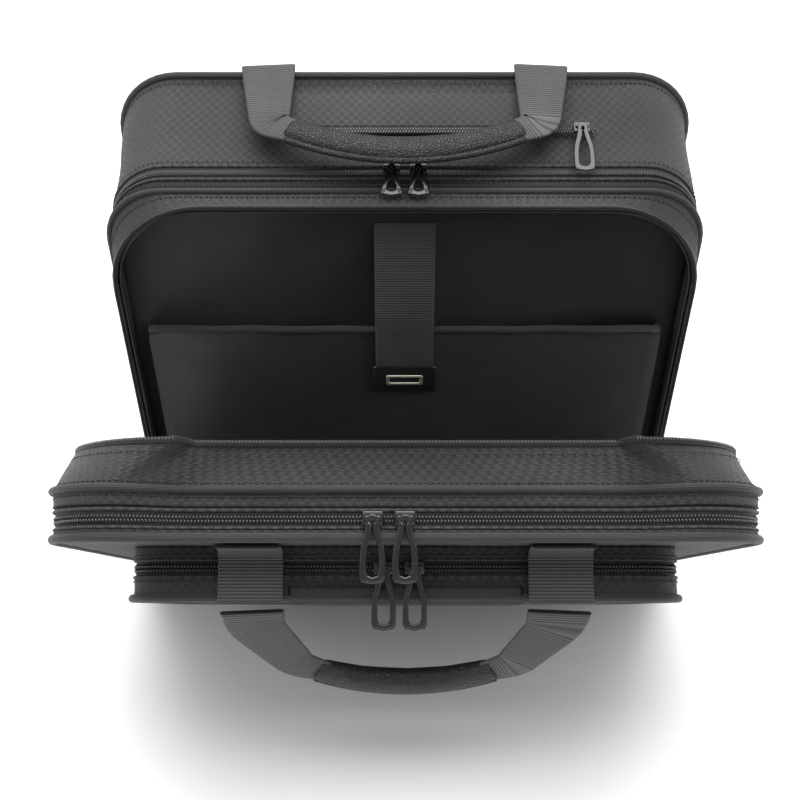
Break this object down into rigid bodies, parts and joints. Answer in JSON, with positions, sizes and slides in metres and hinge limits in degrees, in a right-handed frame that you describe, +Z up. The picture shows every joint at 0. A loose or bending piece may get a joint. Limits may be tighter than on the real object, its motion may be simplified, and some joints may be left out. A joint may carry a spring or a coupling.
{
  "type": "flight bag",
  "caption": "Soft-sided pilot flight bag standing open, with a tipping front section, zipped compartments, padded laptop sleeve, retention strap and two carry handles.",
  "frame": {"origin": "on the floor under the middle of the open bag's bounding box", "axes": "+X to the right seen from the front, -Y towards the front of the bag, +Z up"},
  "size_m": [0.4352, 0.3828, 0.373],
  "materials": {
    "ballistic_nylon": "coarse ballistic nylon weave, matt",
    "binding": "woven binding over cord",
    "satin_lining": "smooth satin polyester with a soft sheen",
    "webbing": "ribbed polyester webbing",
    "zip_tape": "knitted zip tape",
    "zip_coil": "nylon zip coil",
    "black_nickel": "gloss black nickel",
    "grip_leather": "pebble grain leather",
    "smooth_trim": "smooth trim with a stitched hem",
    "buckle_plastic": "satin moulded plastic",
    "buckle_metal": "pale brushed metal",
    "rubber_feet": "matt rubber",
    "stiffener_board": "stiff plastic board"
  },
  "bodies": {
    "root": {"back_panel": "ballistic_nylon", "back_piping": "binding", "base_board": "stiffener_board", "divider_panel": "satin_lining", "foot_left_front": "rubber_feet", "foot_left_rear": "rubber_feet", "foot_right_front": "rubber_feet", "foot_right_rear": "rubber_feet", "hatch_flap": "ballistic_nylon", "hatch_zip_coil": "zip_coil", "laptop_gusset_rear": "ballistic_nylon", "laptop_sleeve": "satin_lining", "laptop_zip_rear": "zip_coil", "main_zip_coil": "zip_coil", "main_zip_tape": "zip_tape", "rear_anchor_left": "webbing", "rear_anchor_right": "webbing", "rear_gusset": "ballistic_nylon", "rear_piping": "binding"},
    "main_zip_left_slider_body": {"main_zip_left_slider": "black_nickel"},
    "main_zip_left_puller_body": {"main_zip_left_puller": "black_nickel"},
    "main_zip_right_slider_body": {"main_zip_right_slider": "black_nickel"},
    "main_zip_right_puller_body": {"main_zip_right_puller": "black_nickel"},
    "hatch_zip_slider_body": {"hatch_zip_slider": "black_nickel"},
    "hatch_zip_puller_body": {"hatch_zip_puller": "black_nickel"},
    "organiser_zip_left_slider_body": {"organiser_zip_left_slider": "black_nickel"},
    "organiser_zip_left_puller_body": {"organiser_zip_left_puller": "black_nickel"},
    "organiser_zip_right_slider_body": {"organiser_zip_right_slider": "black_nickel"},
    "organiser_zip_right_puller_body": {"organiser_zip_right_puller": "black_nickel"},
    "pocket_zip_left_slider_body": {"pocket_zip_left_slider": "black_nickel"},
    "pocket_zip_left_puller_body": {"pocket_zip_left_puller": "black_nickel"},
    "pocket_zip_right_slider_body": {"pocket_zip_right_slider": "black_nickel"},
    "pocket_zip_right_puller_body": {"pocket_zip_right_puller": "black_nickel"},
    "front_handle": {"front_handle_grip": "grip_leather", "front_handle_strap_left": "webbing", "front_handle_strap_right": "webbing"},
    "rear_handle": {"rear_handle_grip": "grip_leather", "rear_handle_strap_left": "webbing", "rear_handle_strap_right": "webbing"},
    "retention": {"retention_strap": "webbing", "retention_buckle": "buckle_plastic", "buckle_frame": "buckle_metal"},
    "front_section": {"front_anchor_left": "webbing", "front_anchor_right": "webbing", "front_edge_band": "ballistic_nylon", "front_panel": "ballistic_nylon", "front_piping": "binding", "laptop_gusset_front": "ballistic_nylon", "laptop_zip_front": "zip_coil", "organiser_piping": "binding", "organiser_strip": "ballistic_nylon", "organiser_wall": "satin_lining", "organiser_zip_coil": "zip_coil", "organiser_zip_tape": "zip_tape", "pocket_face": "ballistic_nylon", "pocket_gusset": "ballistic_nylon", "pocket_piping": "binding", "pocket_trim": "smooth_trim", "pocket_zip_coil": "zip_coil", "pocket_zip_tape": "zip_tape"}
  },
  "joints": [
    {"name": "front_section_opening", "type": "hinge", "parent": "root", "child": "front_section", "pos_m": [0, 0.02579, 0.01], "axis": [1, 0, 0], "range_deg": [-36.5, 0]},
    {"name": "rear_handle_swing", "type": "hinge", "parent": "root", "child": "rear_handle", "pos_m": [0, 0.19179, 0.372], "axis": [1, 0, 0], "range_deg": [-190, 0]},
    {"name": "front_handle_swing", "type": "hinge", "parent": "front_section", "child": "front_handle", "pos_m": [0, -0.175, 0.1973], "axis": [1, 0, 0], "range_deg": [-150, 30]},
    {"name": "retention_strap_swing", "type": "hinge", "parent": "root", "child": "retention", "pos_m": [0, 0.09199, 0.3], "axis": [1, 0, 0], "range_deg": [-6, 0]},
    {"name": "main_zip_left_travel", "type": "slide", "parent": "root", "child": "main_zip_left_slider_body", "axis": [1, 0, 0], "range_m": [-0.1, 0]},
    {"name": "main_zip_left_pull_lift", "type": "hinge", "parent": "main_zip_left_slider_body", "child": "main_zip_left_puller_body", "pos_m": [-0.0095, 0.10386, 0.33928], "axis": [1, 0, 0], "range_deg": [-45, 0]},
    {"name": "main_zip_right_travel", "type": "slide", "parent": "root", "child": "main_zip_right_slider_body", "axis": [1, 0, 0], "range_m": [0, 0.1]},
    {"name": "main_zip_right_pull_lift", "type": "hinge", "parent": "main_zip_right_slider_body", "child": "main_zip_right_puller_body", "pos_m": [0.0095, 0.10386, 0.33928], "axis": [1, 0, 0], "range_deg": [-45, 0]},
    {"name": "hatch_zip_travel", "type": "slide", "parent": "root", "child": "hatch_zip_slider_body", "axis": [1, 0, 0], "range_m": [-0.19, 0]},
    {"name": "hatch_zip_pull_lift", "type": "hinge", "parent": "hatch_zip_slider_body", "child": "hatch_zip_puller_body", "pos_m": [0.128, 0.1364, 0.35335], "axis": [1, 0, 0], "range_deg": [-20, 0]},
    {"name": "organiser_zip_left_travel", "type": "slide", "parent": "front_section", "child": "organiser_zip_left_slider_body", "axis": [1, 0, 0], "range_m": [-0.09, 0]},
    {"name": "organiser_zip_left_pull_lift", "type": "hinge", "parent": "organiser_zip_left_slider_body", "child": "organiser_zip_left_puller_body", "pos_m": [-0.0195, -0.16225, 0.26832], "axis": [1, 0, 0], "range_deg": [-150, 0]},
    {"name": "organiser_zip_right_travel", "type": "slide", "parent": "front_section", "child": "organiser_zip_right_slider_body", "axis": [1, 0, 0], "range_m": [0, 0.1]},
    {"name": "organiser_zip_right_pull_lift", "type": "hinge", "parent": "organiser_zip_right_slider_body", "child": "organiser_zip_right_puller_body", "pos_m": [-0.0005, -0.16225, 0.26832], "axis": [1, 0, 0], "range_deg": [-150, 0]},
    {"name": "pocket_zip_left_travel", "type": "slide", "parent": "front_section", "child": "pocket_zip_left_slider_body", "axis": [1, 0, 0], "range_m": [-0.03, 0]},
    {"name": "pocket_zip_left_pull_lift", "type": "hinge", "parent": "pocket_zip_left_slider_body", "child": "pocket_zip_left_puller_body", "pos_m": [-0.0135, -0.16159, 0.22153], "axis": [1, 0, 0], "range_deg": [-55, 0]},
    {"name": "pocket_zip_right_travel", "type": "slide", "parent": "front_section", "child": "pocket_zip_right_slider_body", "axis": [1, 0, 0], "range_m": [0, 0.03]},
    {"name": "pocket_zip_right_pull_lift", "type": "hinge", "parent": "pocket_zip_right_slider_body", "child": "pocket_zip_right_puller_body", "pos_m": [0.0055, -0.16159, 0.22153], "axis": [1, 0, 0], "range_deg": [-55, 0]}
  ]
}
